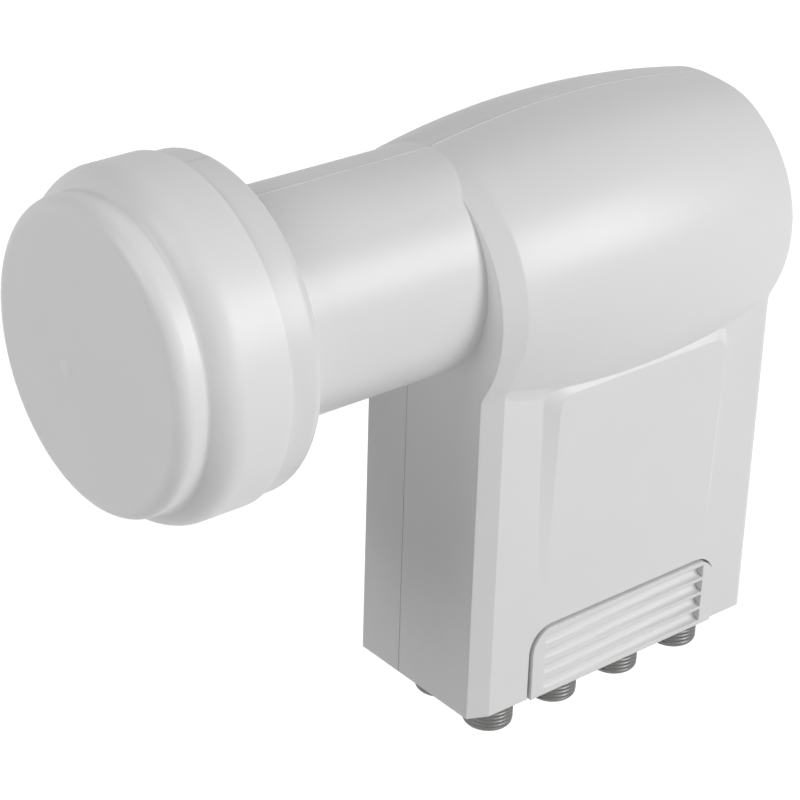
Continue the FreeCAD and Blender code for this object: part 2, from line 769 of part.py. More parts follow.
def add_horn(body):
    """The horn's solid form on the neck axis, from the mouth to the closed end of the guide."""
    mouth = SEAM - size("horn_reach")
    flange = SEAM - size("horn_flange_depth")
    lip = size("horn_mouth_radius") + size("horn_lip")
    trench = flange + size("corrugation_depth")
    crest = flange - size("corrugation_height")
    outer = CAP_RADIUS - size("cap_wall") - size("cap_clearance")
    ridge = size("cap_front_radius") - size("cap_wall") - size("corrugation_clearance")
    valley = ridge - size("corrugation_width")
    seat = SEAL_RADIUS - size("seal_radius") - size("fit_gap")
    seat_front = SEAL_PLACE - size("seal_radius") - size("fit_gap")
    seat_back = SEAL_PLACE + size("seal_radius") + size("fit_gap")
    tube = size("tube_radius")
    ring = NECK_BORE - size("fit_gap")
    width = size("neck_ring_width")
    second = FACE - width - width
    end = WAVEGUIDE_END + size("waveguide_end_wall")
    section = new_sketch(body, "YZ", "horn_section")
    outline(section, [
        (mouth, 0.0), (mouth, lip), (trench, lip), (trench, valley), (crest, valley),
        (crest, ridge), (flange, ridge), (flange, outer), (seat_front, outer),
        (seat_front, seat), (seat_back, seat), (seat_back, outer), (SEAM, outer), (SEAM, ring),
        (SEAM + width, ring), (SEAM + width, tube), (second, tube), (second, ring),
        (second + width, ring), (second + width, tube), (end, tube), (end, 0.0),
    ])
    revolve(body, section, "horn_form")


def cut_waveguide(body):
    mouth = SEAM - size("horn_reach")
    bore = size("waveguide_radius")
    section = new_sketch(body, "YZ", "waveguide_section")
    outline(section, [
        (mouth, 0.0), (mouth, size("horn_mouth_radius")), (mouth + size("horn_cone_length"), bore),
        (WAVEGUIDE_END, bore), (WAVEGUIDE_END, 0.0),
    ])
    revolve(body, section, "waveguide", cut=True)


def chassis_rim(inset):
    """Low and high corners of the lid's outline on the +X side of the chassis."""
    low = (CHASSIS_FRONT + inset, CHASSIS_BOTTOM + inset)
    high = (CHASSIS_BACK - inset, CHASSIS_TOP - inset)
    return low, high


def rear_rim(inset):
    low = (CHASSIS_FRONT + inset, CHASSIS_BOTTOM + inset)
    high = (CHASSIS_BACK - inset, REAR_LID_TOP - inset)
    return low, high


def cut_cavities(body):
    lid_bed = new_sketch(body, "YZ", "lid_bed", shift=(0.0, 0.0, CHASSIS_RIGHT))
    rectangle(lid_bed, *chassis_rim(size("lid_margin")))
    pocket(body, lid_bed, "lid_recess", size("lid_thickness") + size("gasket_thickness"))
    rooms = new_sketch(body, "YZ", "right_rooms", shift=(0.0, 0.0, CHASSIS_RIGHT))
    rectangle(rooms, (CAVITY_FRONT, PARTITION_TOP), (CAVITY_BACK, CAVITY_TOP))
    rectangle(rooms, (CAVITY_FRONT, CAVITY_BOTTOM), (CAVITY_BACK, PARTITION_BOTTOM))
    pocket(body, rooms, "right_cavities", CHASSIS_RIGHT - NEAR_FLOOR)
    rear_bed = new_sketch(body, "YZ", "rear_lid_bed", shift=(0.0, 0.0, CHASSIS_LEFT))
    rectangle(rear_bed, *rear_rim(size("lid_margin")))
    pocket(body, rear_bed, "rear_lid_recess", size("lid_thickness"), backwards=True)
    rear = new_sketch(body, "YZ", "rear_room", shift=(0.0, 0.0, CHASSIS_LEFT))
    rectangle(rear, (CAVITY_FRONT, CAVITY_BOTTOM), (CAVITY_BACK, PARTITION_BOTTOM))
    pocket(body, rear, "rear_cavity", FAR_FLOOR - CHASSIS_LEFT, backwards=True)


def cut_port_holes(body):
    holes = new_sketch(body, "XY", "port_holes", shift=(0.0, 0.0, CHASSIS_BOTTOM))
    radius = size("port_boss_radius") + size("fit_gap")
    for row in (NEAR_ROW, FAR_ROW):
        circle(holes, row, FIRST_PORT, radius)
    depth = size("chassis_floor") + size("port_boss_rise") + size("board_gap")
    first = pocket(body, holes, "port_hole_pair", depth, backwards=True)
    pattern = body.newObject("PartDesign::LinearPattern", "port_hole_pattern")
    pattern.Originals = [first]
    pattern.Direction = (origin_part(body, "Y_Axis"), [""])
    bind(pattern, "Length", LAST_PORT - FIRST_PORT)
    pattern.Occurrences = int(SIZES["ports_per_row"])
    body.Tip = pattern
    doc.recompute()


def cut_round_holes(body, name, start, places, radius, depth, backwards=False):
    sketch = new_sketch(body, "YZ", name + "_places", shift=(0.0, 0.0, start))
    for along, up in places:
        circle(sketch, along, up, radius)
    pocket(body, sketch, name, depth, backwards)


def build_horn_casting():
    body = new_body("horn_casting")
    add_horn(body)
    block = new_sketch(body, "XZ", "chassis_block", shift=(0.0, 0.0, -CHASSIS_FRONT))
    rectangle(block, (CHASSIS_LEFT, CHASSIS_BOTTOM), (CHASSIS_RIGHT, CHASSIS_TOP))
    pad(body, block, "chassis", CHASSIS_BACK - CHASSIS_FRONT, backwards=True)
    cut_waveguide(body)
    cut_cavities(body)
    cut_port_holes(body)
    gap = size("fit_gap")
    screw = size("screw_radius") + gap
    small = size("board_screw_radius") + gap
    long = size("screw_length") + gap
    short = size("board_screw_length")
    cut_round_holes(body, "lid_taps", LID_SEAT, LID_SCREWS, screw, long)
    cut_round_holes(body, "rear_lid_taps", REAR_LID_SEAT, REAR_LID_SCREWS, screw, long, True)
    cut_round_holes(body, "near_taps", NEAR_FLOOR, RF_SCREWS + BOARD_SCREWS, small, short)
    cut_round_holes(body, "far_taps", FAR_FLOOR, BOARD_SCREWS, small, short, True)
    probe = size("probe_sleeve_radius") + gap
    cut_round_holes(body, "probe_holes", NEAR_FLOOR, PROBES, probe, NEAR_FLOOR - size("tube_radius") / 2)
    return body


# Lids, gasket and boards: flat plates across X.

def build_plate(label, start, thickness, low, high, holes, sinks=None, windows=None):
    """A plate from start towards +X, or towards -X where its thickness is below zero."""
    body = new_body(label)
    backwards = number(thickness) < 0
    thick = -thickness if backwards else thickness
    sketch = new_sketch(body, "YZ", label + "_outline", shift=(0.0, 0.0, start))
    rectangle(sketch, low, high)
    for along, up, radius in holes:
        circle(sketch, along, up, radius)
    for window in windows or []:
        rectangle(sketch, *window)
    pad(body, sketch, label + "_plate", thick, backwards)
    if sinks:
        places, radius, depth = sinks
        face = start + thickness
        cut_round_holes(body, label + "_sinks", face, places, radius, depth, backwards)
    return body


def screw_holes(places, radius):
    return [(along, up, radius + size("fit_gap")) for along, up in places]


def build_lids():
    gap = size("fit_gap")
    margin = size("lid_margin") + gap
    sink = (size("screw_head_radius") + gap, size("screw_head_depth"))
    thickness = size("lid_thickness")
    holes = screw_holes(LID_SCREWS, size("screw_radius"))
    lid = build_plate("chassis_lid", LID_SEAT, thickness, *chassis_rim(margin), holes, (LID_SCREWS, *sink))
    seat = LID_SEAT - size("gasket_thickness")
    windows = [
        ((CAVITY_FRONT, PARTITION_TOP), (CAVITY_BACK, CAVITY_TOP)),
        ((CAVITY_FRONT, CAVITY_BOTTOM), (CAVITY_BACK, PARTITION_BOTTOM)),
    ]
    gasket = build_plate(
        "lid_gasket", seat, size("gasket_thickness"), *chassis_rim(margin), holes, None, windows
    )
    rear_holes = screw_holes(REAR_LID_SCREWS, size("screw_radius"))
    rear = build_plate(
        "rear_lid", REAR_LID_SEAT, -thickness, *rear_rim(margin), rear_holes, (REAR_LID_SCREWS, *sink)
    )
    return [lid, gasket, rear]


def build_boards():
    gap = size("board_gap")
    thickness = size("board_thickness")
    low = (CAVITY_FRONT + gap, PARTITION_TOP + gap)
    high = (CAVITY_BACK - gap, CAVITY_TOP - gap)
    radius = size("board_screw_radius")
    probes = screw_holes(PROBES, size("probe_radius"))
    rf_board = build_plate(
        "rf_board", NEAR_FLOOR, thickness, low, high, screw_holes(RF_SCREWS, radius) + probes
    )
    low = (CAVITY_FRONT + gap, CAVITY_BOTTOM + size("port_boss_rise") + gap + gap)
    high = (CAVITY_BACK - gap, PARTITION_BOTTOM - gap)
    holes = screw_holes(BOARD_SCREWS, radius)
    near_board = build_plate("near_switch_board", NEAR_FLOOR, thickness, low, high, holes)
    far_board = build_plate("far_switch_board", FAR_FLOOR, -thickness, low, high, holes)
    return [rf_board, near_board, far_board]


# Groups of like pieces, each piece a separate solid of one node.

def group(label, pieces):
    compound = doc.addObject("Part::Compound", label)
    compound.Label = label
    compound.Links = pieces
    doc.recompute()
    return compound


def rod(name, start, along, up, radius, length, side):
    """A round bar along X that begins at start and runs towards the named side."""
    bar = doc.addObject("Part::Cylinder", name)
    turn = FreeCAD.Rotation(FreeCAD.Vector(0, 1, 0), 90 * side)
    bar.Placement = FreeCAD.Placement(FreeCAD.Vector(), turn)
    bind(bar, "Radius", radius)
    bind(bar, "Height", length)
    place_body(bar, start, along, up)
    return bar


def screw_group(label, seat, places, side, radius, length, head_radius, head_depth):
    """Screws whose heads stand on seat and whose shanks run inwards, away from side."""
    screws = []
    for count, (along, up) in enumerate(places, start=1):
        name = f"{label}_{count}"
        shank = rod(name + "_shank", seat, along, up, radius, length, -side)
        head = rod(name + "_head", seat, along, up, head_radius, head_depth, side)
        screw = doc.addObject("Part::Fuse", name)
        screw.Base = shank
        screw.Tool = head
        screws.append(screw)
    return group(label, screws)


def chip_group(label, seat, side, chips):
    """Flat blocks on a board's face: each chip is (middle along, middle up, width, height)."""
    blocks = []
    rise = size("chip_height")
    for count, (along, up, width, height) in enumerate(chips, start=1):
        block = doc.addObject("Part::Box", f"{label}_{count}")
        bind(block, "Length", rise)
        bind(block, "Width", width)
        bind(block, "Height", height)
        place_body(block, seat if side > 0 else seat - rise, along - width / 2, up - height / 2)
        blocks.append(block)
    return group(label, blocks)


def build_screws():
    radius = size("screw_radius")
    head = (size("screw_head_radius"), size("screw_head_depth"))
    length = size("screw_length")
    lid_seat = CHASSIS_RIGHT - size("screw_head_depth")
    rear_seat = CHASSIS_LEFT + size("screw_head_depth")
    small = size("board_screw_radius")
    small_head = (size("board_screw_head_radius"), size("board_screw_radius"))
    short = size("board_screw_length")
    near_face = NEAR_FLOOR + size("board_thickness")
    far_face = FAR_FLOOR - size("board_thickness")
    return [
        screw_group("lid_screws", lid_seat, LID_SCREWS, 1, radius, length, *head),
        screw_group("rear_lid_screws", rear_seat, REAR_LID_SCREWS, -1, radius, length, *head),
        screw_group("near_board_screws", near_face, RF_SCREWS + BOARD_SCREWS, 1, small, short, *small_head),
        screw_group("far_board_screws", far_face, BOARD_SCREWS, -1, small, short, *small_head),
    ]


def build_chips():
    near_face = NEAR_FLOOR + size("board_thickness")
    far_face = FAR_FLOOR - size("board_thickness")
    chip = size("switch_chip_width")
    tiny = size("transistor_width")
    row_up = (PARTITION_BOTTOM + CAVITY_BOTTOM) / 2 + size("chip_height")
    rf_up = (PARTITION_TOP - size("tube_radius")) / 2
    halfway = PORT_PITCH / 2
    switches = [(PORT_MIDDLE - halfway, row_up, chip, chip), (PORT_MIDDLE + halfway, row_up, chip, chip)]
    regulator = size("regulator_width")
    regulators = [
        (CAVITY_FRONT + regulator, row_up, regulator, regulator),
        (CAVITY_BACK - regulator, row_up, regulator, regulator),
    ]
    first = FIRST_PROBE
    step = size("probe_spacing")
    transistors = [
        (first, -tiny * 2, tiny, tiny), (first + step, -tiny * 2, tiny, tiny),
        (first, -tiny * 4, tiny, tiny), (first + step, -tiny * 4, tiny, tiny),
    ]
    return [
        chip_group("low_noise_transistors", near_face, 1, transistors),
        chip_group("converter_chip", near_face, 1, [(PORT_MIDDLE, rf_up, chip, chip)]),
        chip_group("near_switch_chips", near_face, 1, switches),
        chip_group("far_switch_chips", far_face, -1, switches),
        chip_group("near_voltage_regulators", near_face, 1, regulators),
        chip_group("far_voltage_regulators", far_face, -1, regulators),
    ]


def build_crystal():
    """The reference crystal's can: a flat can with round ends, on the converter board."""
    body = new_body("quartz_crystal")
    face = NEAR_FLOOR + size("board_thickness")
    sketch = new_sketch(body, "YZ", "crystal_outline", shift=(0.0, 0.0, face))
    up = (PARTITION_TOP - size("tube_radius")) / 2
    left = PORT_MIDDLE + size("switch_chip_width")
    half = size("crystal_width") / 2
    rounded_rectangle(sketch, (left, up - half), (left + size("crystal_length"), up + half), half * 0.9)
    pad(body, sketch, "crystal_can", size("crystal_height"))
    return body


# Probes in the waveguide.

def build_probes():
    base = NEAR_FLOOR + size("board_thickness") + size("probe_radius")
    radius = size("probe_radius")
    first = FIRST_PROBE
    second = first + size("probe_spacing")
    tip = size("waveguide_radius") - size("probe_reach")
    straight = rod("horizontal_probe", base, first, 0.0, radius, base - tip, -1)
    straight.Label = "horizontal_probe"
    bent = new_body("vertical_probe")
    bend = size("probe_bend")
    path = new_sketch(bent, "XZ", "probe_path", shift=(0.0, 0.0, -second))
    outside = FreeCAD.Vector(number(base), 0, 0)
    above = FreeCAD.Vector(number(bend), 0, 0)
    below = FreeCAD.Vector(0, -number(bend), 0)
    tip_end = FreeCAD.Vector(0, -number(size("probe_reach")), 0)
    round_corner = Part.Circle(above + below, FreeCAD.Vector(0, 0, 1), number(bend))
    run = path.addGeometry(Part.LineSegment(outside, above))
    arc = path.addGeometry(Part.ArcOfCircle(round_corner, math.pi / 2, math.pi))
    drop = path.addGeometry(Part.LineSegment(below, tip_end))
    path.addConstraint(Sketcher.Constraint("Coincident", run, 2, arc, 1))
    path.addConstraint(Sketcher.Constraint("Coincident", arc, 2, drop, 1))
    pin_point(path, run, 1, base, 0.0)
    pin_point(path, run, 2, bend, 0.0)
    place = path.addConstraint(Sketcher.Constraint("Radius", arc, number(bend)))
    path.setExpression(f"Constraints[{place}]", bend.text)
    pin_point(path, drop, 1, 0.0, -bend)
    pin_point(path, drop, 2, 0.0, -size("probe_reach"))
    section = new_sketch(bent, "YZ", "probe_section", shift=(0.0, 0.0, base))
    circle(section, second, 0.0, radius)
    pipe = bent.newObject("PartDesign::AdditivePipe", "probe_wire")
    pipe.Profile = section
    pipe.Spine = path
    doc.recompute()
    sleeves = []
    for label, along in (("horizontal_probe_sleeve", first), ("vertical_probe_sleeve", second)):
        body = new_body(label)
        ring = new_sketch(body, "YZ", label + "_ring", shift=(0.0, 0.0, NEAR_FLOOR))
        circle(ring, along, 0.0, size("probe_sleeve_radius"))
        circle(ring, along, 0.0, radius + size("fit_gap"))
        pad(body, ring, label + "_tube", size("probe_sleeve_length"), backwards=True)
        sleeves.append(body)
    half = size("waveguide_radius") - size("fit_gap") - size("fit_gap")
    bar = rod("isolation_rod", -half, (first + second) / 2, 0.0, size("isolation_radius"), half + half, 1)
    bar.Label = "isolation_rod"
    doc.recompute()
    return [straight, bent, *sleeves, bar]


# Ports. Each piece is drawn about the port's own axis, with its origin where it leaves the chassis.

def turned_piece(label, corners, place):
    body = new_body(label)
    section = new_sketch(body, "XZ", label + "_section")
    outline(section, corners)
    feature = body.newObject("PartDesign::Revolution", label + "_form")
    feature.Profile = section
    feature.ReferenceAxis = (section, ["V_Axis"])
    feature.Angle = 360
    place_body(body, *place)
    doc.recompute()
    return body


def build_port(label_number, row, along):
    place = (row, along, CHASSIS_BOTTOM)
    bore = size("port_bore_radius")
    boss = size("port_boss_radius")
    collar = size("port_collar_radius")
    thread = size("port_thread_radius")
    tip = -size("port_reach")
    bevel = size("port_tip_bevel")
    top = size("chassis_floor") + size("port_boss_rise")
    shell = turned_piece(f"f_connector_{label_number}", [
        (bore, top), (bore, tip), (thread - bevel, tip), (thread, tip + bevel),
        (thread, -size("port_collar_depth")), (collar, -size("port_collar_depth")),
        (collar, 0.0), (boss, 0.0), (boss, top),
    ], place)
    gap = size("fit_gap")
    socket = size("port_socket_radius")
    pin = size("contact_radius")
    face = tip + size("port_face_recess")
    floor = face + size("port_socket_depth")
    core = turned_piece(f"port_insulator_{label_number}", [
        (pin + gap, top), (pin + gap, floor), (socket, floor), (socket, face),
        (bore - gap, face), (bore - gap, top),
    ], place)
    foot = floor + gap
    head = top + size("contact_rise")
    contact = turned_piece(
        f"port_contact_{label_number}", [(0.0, head), (0.0, foot), (pin, foot), (pin, head)], place
    )
    return [shell, core, contact]


def build_ports():
    pieces = []
    label_number = 1
    for row in (NEAR_ROW, FAR_ROW):
        for count in range(int(SIZES["ports_per_row"])):
            pieces += build_port(label_number, row, FIRST_PORT + PORT_PITCH * count)
            label_number += 1
    return pieces


def check_and_write(pieces):
    doc.recompute()
    for item in doc.Objects:
        if "Invalid" in item.State or "Error" in item.State:
            raise RuntimeError(f"{item.Name} did not build: {item.State}")
    os.makedirs("parts", exist_ok=True)
    for piece in pieces:
        shape = piece.Shape
        if shape.isNull() or not shape.isValid() or shape.Volume <= 0:
            raise RuntimeError(f"{piece.Label} has no sound shape")
        shape.exportStep(os.path.join("parts", piece.Label + ".step"))
        print(f"{piece.Label}: {shape.Volume:.1f} mm3, {len(shape.Solids)} solid(s)")


def main():
    pieces = [build_shell("right_shell", 1), build_shell("left_shell", -1)]
    pieces += [build_feed_cap(), build_cap_seal(), build_weather_cover(), build_horn_casting()]
    pieces += build_lids()
    pieces += build_boards()
    pieces += build_screws()
    pieces += build_chips()
    pieces.append(build_crystal())
    pieces += build_probes()
    pieces += build_ports()
    check_and_write(pieces)


main()
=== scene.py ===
import json
import math

import bmesh
import bpy
from mathutils import Matrix, Vector


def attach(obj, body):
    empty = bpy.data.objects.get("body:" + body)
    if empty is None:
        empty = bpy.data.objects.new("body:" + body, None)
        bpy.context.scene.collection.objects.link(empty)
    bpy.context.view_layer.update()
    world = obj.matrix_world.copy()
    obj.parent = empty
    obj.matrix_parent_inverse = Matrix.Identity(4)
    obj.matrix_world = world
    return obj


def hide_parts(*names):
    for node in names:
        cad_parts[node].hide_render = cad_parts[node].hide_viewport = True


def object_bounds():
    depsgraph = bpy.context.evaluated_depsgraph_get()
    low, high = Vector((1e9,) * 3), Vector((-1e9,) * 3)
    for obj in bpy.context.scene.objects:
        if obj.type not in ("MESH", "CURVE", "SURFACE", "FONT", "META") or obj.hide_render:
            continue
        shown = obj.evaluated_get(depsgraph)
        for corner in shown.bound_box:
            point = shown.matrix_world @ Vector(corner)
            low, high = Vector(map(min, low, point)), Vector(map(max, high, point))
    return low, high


# Looks of the satellite dish feed unit: moulded off-white plastic, nickel-plated threaded ports,
# fine parting lines and a studio with a white background.
# Lengths are in millimetres of the part's own frame unless a comment says otherwise, and MM turns
# them into metres. Angles are in degrees.

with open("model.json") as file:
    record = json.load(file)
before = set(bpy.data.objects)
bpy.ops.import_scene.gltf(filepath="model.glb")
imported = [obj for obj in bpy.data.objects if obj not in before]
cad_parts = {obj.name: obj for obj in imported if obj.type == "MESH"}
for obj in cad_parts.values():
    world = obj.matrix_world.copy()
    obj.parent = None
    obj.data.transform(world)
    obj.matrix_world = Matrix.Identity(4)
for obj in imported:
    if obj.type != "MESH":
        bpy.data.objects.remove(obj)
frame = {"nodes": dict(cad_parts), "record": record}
cad_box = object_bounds()

MM = 0.001
WHITE = (1.0, 1.0, 1.0, 1.0)

# The camera, worked out from the photograph.
CAMERA_PLACE = (309.98, -240.11, 184.67)
CAMERA_AZIMUTH = 50.144
CAMERA_ELEVATION = 27.625
CAMERA_ROLL = 1.74
CAMERA_LENS = 116.95
SENSOR_WIDTH = 36.0
NEAREST_SEEN = 0.01  # metres

# The light: name, azimuth, elevation, distance and size in metres, power in watts.
LAMPS = (
    ("side", 120.0, 25.0, 1.0, 0.5, 5.2),
    ("front", -5.0, 42.0, 1.0, 0.6, 3.6),
    ("low", 95.0, 5.0, 1.0, 0.6, 1.2),
)
WORLD_STRENGTH = 0.1

# The floor lies just below the lowered cover.
FLOOR_HEIGHT = -106.5
FLOOR_HALF = 3.0  # metres
FLOOR_COLOUR = (0.7, 0.7, 0.7, 1.0)
FLOOR_ROUGHNESS = 0.9
FLOOR_LIFT = 0.85

# Threaded ports: their places, then one port from its foot inside the housing to its tip. The
# thread's crest and flank are shares of half a turn.
PORT_ROWS = (11.4, -2.6)
PORT_FIRST = 32.75
PORT_PITCH = 16.0
PORT_PLACES = [(row, PORT_FIRST + PORT_PITCH * count) for row in PORT_ROWS for count in range(4)]
PORT_TURN = 67.0
PORT_SIDES = 60
PORT_BORE_RADIUS = 2.6
PORT_BORE_BEVEL = 0.35
PORT_BOSS_RADIUS = 3.6
PORT_BOSS_BEVEL = 0.15
PORT_BOSS_TOP = -77.0
PORT_SEAT = -81.1
PORT_TIP = -93.7
COLLAR_RADIUS = 5.2
COLLAR_DEPTH = 1.0
COLLAR_TOP_BEVEL = 0.1
COLLAR_BEVEL = 0.2
THREAD_RADIUS = 4.76
THREAD_DEPTH = 0.17
THREAD_ROOT = THREAD_RADIUS - THREAD_DEPTH
THREAD_PITCH = 25.4 / 32
THREAD_CREST = 0.12
THREAD_FLANK = 0.72
THREAD_RUNOUT = 1.0
THREAD_STEPS = 120
TIP_ROUNDING = 1.2

# Neck and hood as the solids have them.
NECK_RADIUS = 20.0
NECK_FRONT = -20.25
NECK_BACK = 20.25
HOOD_AXIS = -5.0
HOOD_FACE_RADIUS = 24.1
HOOD_SHOULDER_RADIUS = 25.1
HOOD_TAIL_RADIUS = 24.4
HOOD_ARCH_RADIUS = 180.0
HOOD_BEVEL = 3.85
HOOD_SHOULDER = NECK_BACK + HOOD_BEVEL
HOOD_TAIL = 89.4

# How far the hood's real skin stands from the plain one, and the turns about the hood's axis, from
# the near side upwards, where that starts, is whole, starts to fade and ends.
SWELL = 0.95
SWELL_TURNS = (-32.0, 28.0, 60.0, 88.0)
FAR_DIP = 0.5
FAR_DIP_AT_FACE = 0.9
FAR_TURNS = (95.0, 125.0, 170.0, 215.0)
HOOD_INSIDE = 20.9
HOOD_MARGIN = 0.01

# The parting line's moulding flash: across and up from the skin, then where it starts and ends.
FLASH_OUTLINE = ((-0.21, -0.05), (-0.126, 0.07), (0.126, 0.07), (0.21, -0.05))
NECK_FLASH = (NECK_FRONT + 0.02, NECK_BACK + 3.02)
NECK_FLASH_STEPS = 20
HOOD_FLASH = (NECK_BACK + 3.3, 87.2)
HOOD_FLASH_STEPS = 60

# The moulding gate's nub on the cap: its place, rings of radius and rise along +Y, and its top.
GATE_PLACE = (-5.4, -46.05, -3.3)
GATE_RINGS = ((1.7, 0.04), (1.5, -0.06), (1.1, -0.18), (0.6, -0.26))
GATE_TOP = -0.29
GATE_SIDES = 32

# Surfaces: scales count a pattern's waves to the metre.
GRAIN_DEPTH = 0.00005  # metres
GRAIN_DETAIL = 3.0
TINT_DETAIL = 2.0
TINT_RANGE = (0.3, 0.7)
EDGE_SAMPLES = 6
PLASTIC_IOR = 1.5
PLASTIC_GRAIN_SCALE = 900.0
PLASTIC_TINT = 0.015
PLASTIC_TINT_SCALE = 60.0
METAL_GRAIN_SCALE = 1500.0
METAL_TINT = 0.06
METAL_TINT_SCALE = 400.0
LIGHT_DEPTH = 0.003  # metres


def material_tree(name):
    material = bpy.data.materials.new(name)
    material.use_nodes = True
    tree = material.node_tree
    return material, tree, tree.nodes["Principled BSDF"]


def add_noise(tree, place, scale, detail):
    noise = tree.nodes.new("ShaderNodeTexNoise")
    noise.inputs["Scale"].default_value = scale
    noise.inputs["Detail"].default_value = detail
    tree.links.new(place.outputs["Object"], noise.inputs["Vector"])
    return noise.outputs["Fac"]


def add_grain(tree, shader, place, scale, strength, edge=0.0):
    """A fine uneven skin, over edges softened by the given radius."""
    height = tree.nodes.new("ShaderNodeBump")
    height.inputs["Strength"].default_value = strength
    height.inputs["Distance"].default_value = GRAIN_DEPTH
    tree.links.new(add_noise(tree, place, scale, GRAIN_DETAIL), height.inputs["Height"])
    tree.links.new(height.outputs["Normal"], shader.inputs["Normal"])
    if edge:
        soft = tree.nodes.new("ShaderNodeBevel")
        soft.samples = EDGE_SAMPLES
        soft.inputs["Radius"].default_value = edge * MM
        tree.links.new(soft.outputs["Normal"], height.inputs["Normal"])


def add_tint(tree, shader, place, colour, spread, scale):
    """Slight unevenness below the named colour."""
    ramp = tree.nodes.new("ShaderNodeValToRGB")
    low = [channel * (1.0 - spread) for channel in colour]
    for element, position, tone in zip(ramp.color_ramp.elements, TINT_RANGE, (low, colour)):
        element.position = position
        element.color = (*tone, 1.0)
    tree.links.new(add_noise(tree, place, scale, TINT_DETAIL), ramp.inputs["Fac"])
    tree.links.new(ramp.outputs["Color"], shader.inputs["Base Color"])


def plastic(name, colour, roughness, grain, thin=0.0, edge=0.0):
    """Moulded plastic or rubber, with light inside it by the share thin and edges softened by edge."""
    material, tree, shader = material_tree(name)
    shader.inputs["Roughness"].default_value = roughness
    shader.inputs["IOR"].default_value = PLASTIC_IOR
    if thin:
        shader.inputs["Subsurface Weight"].default_value = thin
        shader.inputs["Subsurface Radius"].default_value = (1.0, 1.0, 1.0)
        shader.inputs["Subsurface Scale"].default_value = LIGHT_DEPTH
    place = tree.nodes.new("ShaderNodeTexCoord")
    add_grain(tree, shader, place, PLASTIC_GRAIN_SCALE, grain, edge)
    add_tint(tree, shader, place, colour, PLASTIC_TINT, PLASTIC_TINT_SCALE)
    return material


def metal(name, colour, roughness, grain):
    material, tree, shader = material_tree(name)
    shader.inputs["Metallic"].default_value = 1.0
    shader.inputs["Roughness"].default_value = roughness
    place = tree.nodes.new("ShaderNodeTexCoord")
    add_grain(tree, shader, place, METAL_GRAIN_SCALE, grain)
    add_tint(tree, shader, place, colour, METAL_TINT, METAL_TINT_SCALE)
    return material


MATERIALS = {
    "shell_plastic": plastic("shell_plastic", (0.82, 0.82, 0.82), 0.36, 0.10, edge=0.3),
    "cap_plastic": plastic("cap_plastic", (0.92, 0.92, 0.92), 0.38, 0.05, thin=0.3),
    "cover_plastic": plastic("cover_plastic", (0.82, 0.82, 0.82), 0.36, 0.10, edge=0.25),
    "seal_rubber": plastic("seal_rubber", (0.03, 0.03, 0.03), 0.6, 0.3),
    "cast_metal": metal("cast_metal", (0.58, 0.58, 0.58), 0.5, 0.5),
    "lid_metal": metal("lid_metal", (0.64, 0.64, 0.65), 0.35, 0.1),
    "gasket_rubber": plastic("gasket_rubber", (0.08, 0.08, 0.085), 0.7, 0.3),
    "board": plastic("board", (0.03, 0.16, 0.08), 0.35, 0.2),
    "screw_steel": metal("screw_steel", (0.55, 0.55, 0.56), 0.3, 0.1),
    "chip": plastic("chip", (0.02, 0.02, 0.02), 0.5, 0.4),
    "crystal_can": metal("crystal_can", (0.7, 0.7, 0.7), 0.2, 0.05),
    "probe_metal": metal("probe_metal", (0.75, 0.58, 0.28), 0.25, 0.1),
    "sleeve_plastic": plastic("sleeve_plastic", (0.85, 0.85, 0.83), 0.5, 0.1),
    "rod_metal": metal("rod_metal", (0.6, 0.6, 0.6), 0.3, 0.1),
    "port_metal": metal("port_metal", (0.16, 0.16, 0.157), 0.33, 0.3),
    "insulator_plastic": plastic("insulator_plastic", (0.80, 0.80, 0.78), 0.45, 0.1),
    "contact_metal": metal("contact_metal", (0.72, 0.58, 0.32), 0.25, 0.1),
}
# The cap's plastic without light inside it, which a thin nub would lose at its buried side.
GATE_PLASTIC = plastic("gate_plastic", (0.92, 0.92, 0.92), 0.38, 0.05)


def dress_nodes():
    for subpart in frame["record"]["subparts"]:
        slots = frame["nodes"][subpart["node"]].data.materials
        slots.clear()
        slots.append(MATERIALS[subpart["material_slot"]])


def new_object(name, data):
    thing = bpy.data.objects.new(name, data)
    bpy.context.scene.collection.objects.link(thing)
    return thing


def add_piece(name, mesh, node=None):
    """A piece of the housing under the given name, in the place of a node if one is named."""
    piece = new_object(name, mesh)
    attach(piece, "housing")
    if node:
        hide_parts(node)


def add_ring(shape, points):
    return [shape.verts.new(Vector(point) * MM) for point in points]


def wrap(shape, rings):
    """Faces between each ring of points and the next."""
    for first, second in zip(rings, rings[1:]):
        for place in range(len(first)):
            after = (place + 1) % len(first)
            shape.faces.new((first[place], first[after], second[after], second[place]))


def finished_mesh(name, shape, material, smooth=None):
    """The shape as a mesh with its faces turned outwards, smooth across edges below an angle."""
    bmesh.ops.recalc_face_normals(shape, faces=shape.faces)
    mesh = bpy.data.meshes.new(name)
    shape.to_mesh(mesh)
    shape.free()
    if smooth:
        mesh.shade_smooth()
        mesh.set_sharp_from_angle(angle=math.radians(smooth))
    mesh.materials.append(material)
    return mesh


def spaced(start, end, steps):
    return [start + (end - start) * count / steps for count in range(steps + 1)]


